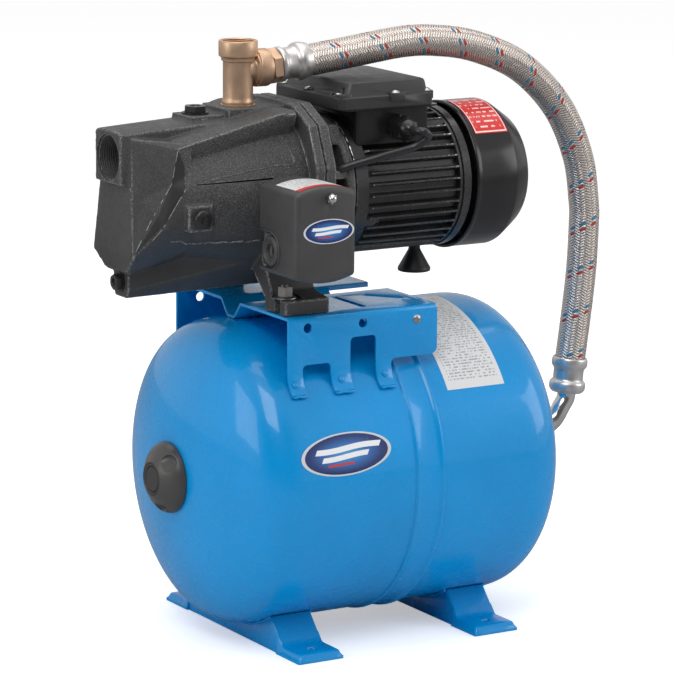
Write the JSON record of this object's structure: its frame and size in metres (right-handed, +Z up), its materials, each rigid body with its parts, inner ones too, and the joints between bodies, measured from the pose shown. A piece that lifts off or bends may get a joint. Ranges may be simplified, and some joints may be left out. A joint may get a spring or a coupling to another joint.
{
  "type": "shallow well jet pump",
  "caption": "Jet pump with close-coupled electric motor on a horizontal pressure tank, joined by a braided hose, with a pressure switch on the casing.",
  "frame": {"origin": "on the floor, under the middle of the overall box", "axes": "+Z up, the suction port faces -X along the tank, the pressure switch faces -Y"},
  "size_m": [0.5432, 0.3082, 0.5675],
  "materials": {
    "blue_enamel": "glossy blue stove enamel",
    "black_cast_iron": "rough cast, painted black, satin",
    "black_paint": "semi-gloss black paint on cast aluminium",
    "grey_black_plastic": "fine-grained matte",
    "black_plastic": "semi-gloss",
    "white_plastic": "moulded",
    "rubber": "matt",
    "brass": "sand-blasted cast brass, turned ends",
    "steel": "zinc plated",
    "electrical_steel": "laminated, bare",
    "stainless_braid": "woven wire with coloured tracer strands",
    "nickel_plate": "satin nickel plate",
    "copper_winding": "enamelled copper wire",
    "carbon_graphite": "lapped",
    "ceramic": "lapped"
  },
  "bodies": {
    "root": {"tank_shell_left": "blue_enamel", "tank_shell_right": "blue_enamel", "tank_seam_band": "blue_enamel", "tank_diaphragm": "rubber", "water_port_socket": "steel", "air_valve_stem": "brass", "foot_left": "blue_enamel", "foot_right": "blue_enamel", "platform_bracket": "blue_enamel", "pump_casing": "black_cast_iron", "diffuser": "white_plastic", "jet_nozzle": "brass", "venturi_tube": "white_plastic", "seal_seat": "ceramic", "motor_bracket": "black_paint", "motor_housing": "black_paint", "stator_core": "electrical_steel", "stator_winding": "copper_winding", "rear_end_shield": "black_paint", "front_bearing_outer": "steel", "rear_bearing_outer": "steel", "fan_cowl": "black_plastic", "motor_support_foot": "rubber", "terminal_box_base": "black_paint", "terminal_box_lid": "black_plastic", "run_capacitor": "white_plastic", "cable_gland": "black_plastic", "motor_cable": "rubber", "foot_bolt_front": "steel", "foot_bolt_rear": "steel", "discharge_tee": "brass", "hose_nipple": "brass", "hose_ferrule_upper": "nickel_plate", "braided_hose": "stainless_braid", "hose_ferrule_lower": "nickel_plate", "hose_elbow": "nickel_plate", "switch_nipple": "brass", "switch_base": "steel", "contact_block": "white_plastic", "range_spring": "steel"},
    "rotor": {"motor_shaft": "steel", "rotor_core": "electrical_steel", "impeller": "brass", "impeller_nut": "steel", "seal_rotating_head": "carbon_graphite", "front_bearing_inner": "steel", "rear_bearing_inner": "steel", "cooling_fan": "black_plastic"},
    "priming_washer": {"priming_washer": "copper_winding"},
    "priming_plug": {"priming_plug": "black_cast_iron"},
    "drain_washer": {"drain_washer": "copper_winding"},
    "drain_plug": {"drain_plug": "black_cast_iron"},
    "side_plug": {"side_plug": "black_cast_iron"},
    "valve_cap": {"valve_cap": "grey_black_plastic"},
    "valve_pin": {"valve_pin": "brass"},
    "switch_cover": {"switch_cover": "grey_black_plastic"},
    "acorn_nut": {"acorn_nut": "nickel_plate"},
    "contact_lever": {"contact_lever": "steel"},
    "range_nut": {"range_nut": "steel"},
    "swivel_nut": {"swivel_nut": "nickel_plate"}
  },
  "joints": [
    {"name": "rotor_spin", "type": "hinge", "parent": "root", "child": "rotor", "pos_m": [-0.0184, 0.0063, 0.4232], "axis": [1, 0, 0], "continuous": true},
    {"name": "priming_lift", "type": "slide", "parent": "root", "child": "priming_washer", "axis": [0, 0, 1], "range_m": [0, 0.009]},
    {"name": "priming_turn", "type": "hinge", "parent": "priming_washer", "child": "priming_plug", "pos_m": [-0.1804, 0.0063, 0.4985], "axis": [0, 0, 1], "range_deg": [0, 1825]},
    {"name": "drain_draw", "type": "slide", "parent": "root", "child": "drain_washer", "axis": [-1, 0, 0], "range_m": [0, 0.0075]},
    {"name": "drain_turn", "type": "hinge", "parent": "drain_washer", "child": "drain_plug", "pos_m": [-0.2579, 0.0063, 0.3487], "axis": [-1, 0, 0], "range_deg": [0, 1825]},
    {"name": "side_plug_turn", "type": "hinge", "parent": "root", "child": "side_plug", "pos_m": [-0.2099, -0.0617, 0.4123], "axis": [0, -1, 0], "range_deg": [0, 1440]},
    {"name": "valve_cap_pull", "type": "slide", "parent": "root", "child": "valve_cap", "axis": [-1, 0, 0], "range_m": [0, 0.04]},
    {"name": "valve_pin_press", "type": "slide", "parent": "root", "child": "valve_pin", "axis": [1, 0, 0], "range_m": [0, 0.0015]},
    {"name": "switch_cover_draw", "type": "slide", "parent": "root", "child": "switch_cover", "axis": [0, -1, 0], "range_m": [0, 0.1]},
    {"name": "acorn_nut_turn", "type": "hinge", "parent": "switch_cover", "child": "acorn_nut", "pos_m": [-0.1264, -0.146, 0.4378], "axis": [0, -1, 0], "continuous": true},
    {"name": "contact_lever_tilt", "type": "hinge", "parent": "root", "child": "contact_lever", "pos_m": [-0.1296, -0.0907, 0.403], "axis": [1, 0, 0], "range_deg": [-3, 3]},
    {"name": "range_nut_turn", "type": "hinge", "parent": "root", "child": "range_nut", "pos_m": [-0.1424, -0.1199, 0.424], "axis": [0, -1, 0], "continuous": true},
    {"name": "swivel_nut_turn", "type": "hinge", "parent": "root", "child": "swivel_nut", "pos_m": [0.1906, 0.0063, 0.1586], "axis": [1, 0, 0], "continuous": true}
  ],
  "couplings": [
    {"joint": "priming_turn", "follows": "priming_lift", "rad_per_m": 3490.7},
    {"joint": "drain_turn", "follows": "drain_draw", "rad_per_m": 4188.8}
  ]
}
